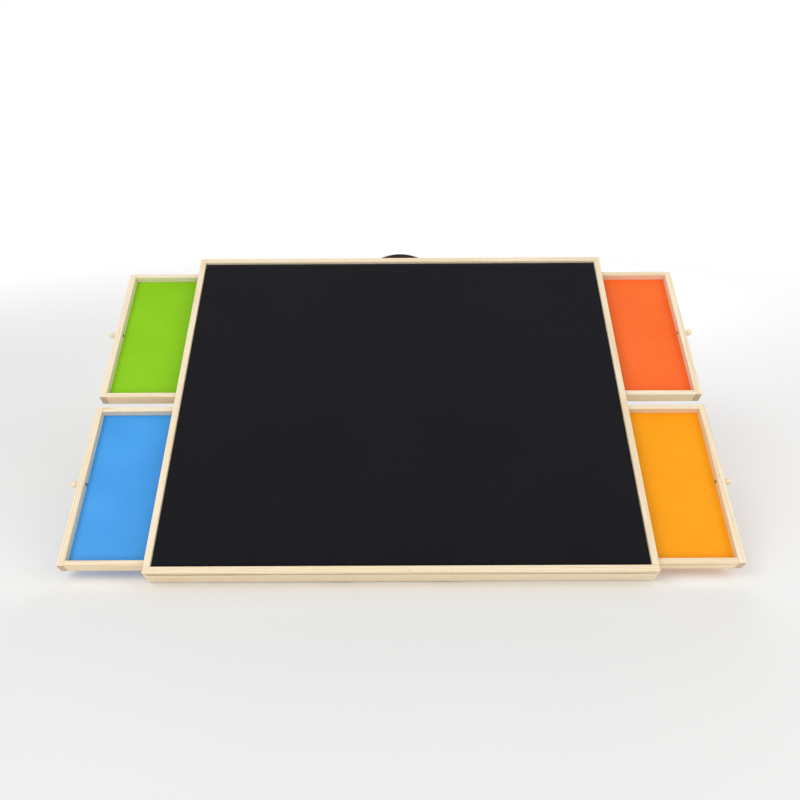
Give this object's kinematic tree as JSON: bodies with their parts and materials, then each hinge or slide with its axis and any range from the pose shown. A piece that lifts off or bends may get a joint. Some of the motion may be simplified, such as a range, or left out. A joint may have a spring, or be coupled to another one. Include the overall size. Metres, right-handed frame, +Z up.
{
  "type": "jigsaw puzzle table",
  "caption": "Tilting jigsaw board with black felt, coloured sorting drawers at both sides, folding prop, notched stand and turntable base, with a strap handle.",
  "frame": {"origin": "middle of the turntable's rubber foot, on its swivel axis, where it stands on the tabletop", "axes": "+X to the right as the player sees it, +Y from the player's low edge towards the handle edge, +Z up"},
  "size_m": [1.236, 0.6847, 0.4734],
  "materials": {
    "pine": "clear matt lacquer over pale pine",
    "groove_edge": "dark panel edge",
    "black_felt": "short dense felt",
    "brown_board": "smooth brown hardboard",
    "green_board": "satin green paint",
    "blue_board": "satin blue paint",
    "red_board": "satin orange-red paint",
    "orange_board": "satin orange paint",
    "leather": "dark red-brown leather",
    "nickel": "brushed nickel plate",
    "steel": "zinc-plated steel",
    "plate": "matt pale metal",
    "black_plastic": "fine-textured black",
    "rubber": "matt non-slip rubber"
  },
  "bodies": {
    "base": {"base_pad": "rubber", "base_plate": "black_plastic", "lower_race": "steel", "bearing_balls": "steel"},
    "stand": {"turntable_top": "black_plastic", "upper_race": "steel", "mounting_board": "pine", "stand_rail_left": "pine", "stand_rail_right": "pine", "rung_front": "pine", "rung_rear": "pine", "end_rail": "pine", "hinge_pins": "steel"},
    "board": {"lip_front": "pine", "lip_back": "pine", "lip_left": "pine", "lip_right": "pine", "top_panel": "groove_edge", "play_felt": "black_felt", "front_rail": "pine", "back_rail": "pine", "centre_rail_left": "pine", "centre_rail_right": "pine", "cross_piece": "pine", "underside_sheet_left": "brown_board", "underside_sheet_right": "brown_board", "recess_sheet": "brown_board", "drawer_guides_left": "pine", "drawer_guides_right": "pine", "pivot_blocks": "pine", "leg_bolts": "steel", "handle_strap": "leather", "handle_caps": "nickel", "handle_screws": "nickel", "catch_plate": "plate", "catch_screws": "steel"},
    "prop": {"leg_left": "pine", "leg_right": "pine", "foot_bar": "pine"},
    "blue_drawer": {"blue_drawer_front": "pine", "blue_drawer_walls": "pine", "blue_drawer_floor": "blue_board", "blue_drawer_knob": "pine", "blue_knob_screw": "steel"},
    "green_drawer": {"green_drawer_front": "pine", "green_drawer_walls": "pine", "green_drawer_floor": "green_board", "green_drawer_knob": "pine", "green_knob_screw": "steel"},
    "orange_drawer": {"orange_drawer_front": "pine", "orange_drawer_walls": "pine", "orange_drawer_floor": "orange_board", "orange_drawer_knob": "pine", "orange_knob_screw": "steel"},
    "red_drawer": {"red_drawer_front": "pine", "red_drawer_walls": "pine", "red_drawer_floor": "red_board", "red_drawer_knob": "pine", "red_knob_screw": "steel"}
  },
  "joints": [
    {"name": "turntable_swivel", "type": "hinge", "parent": "base", "child": "stand", "pos_m": [0, 0, 0], "axis": [0, 0, 1], "continuous": true},
    {"name": "board_tilt", "type": "hinge", "parent": "stand", "child": "board", "pos_m": [0, -0.321, 0.033], "axis": [1, 0, 0], "range_deg": [0, 5]},
    {"name": "prop_swing", "type": "hinge", "parent": "board", "child": "prop", "pos_m": [0, 0.03254, 0.28986], "axis": [1, 0, 0], "range_deg": [-57, 0]},
    {"name": "blue_drawer_slide", "type": "slide", "parent": "board", "child": "blue_drawer", "axis": [-1, 0, 0], "range_m": [-0.157, 0.082]},
    {"name": "green_drawer_slide", "type": "slide", "parent": "board", "child": "green_drawer", "axis": [-1, 0, 0], "range_m": [-0.157, 0.082]},
    {"name": "orange_drawer_slide", "type": "slide", "parent": "board", "child": "orange_drawer", "axis": [1, 0, 0], "range_m": [-0.157, 0.082]},
    {"name": "red_drawer_slide", "type": "slide", "parent": "board", "child": "red_drawer", "axis": [1, 0, 0], "range_m": [-0.157, 0.082]}
  ]
}
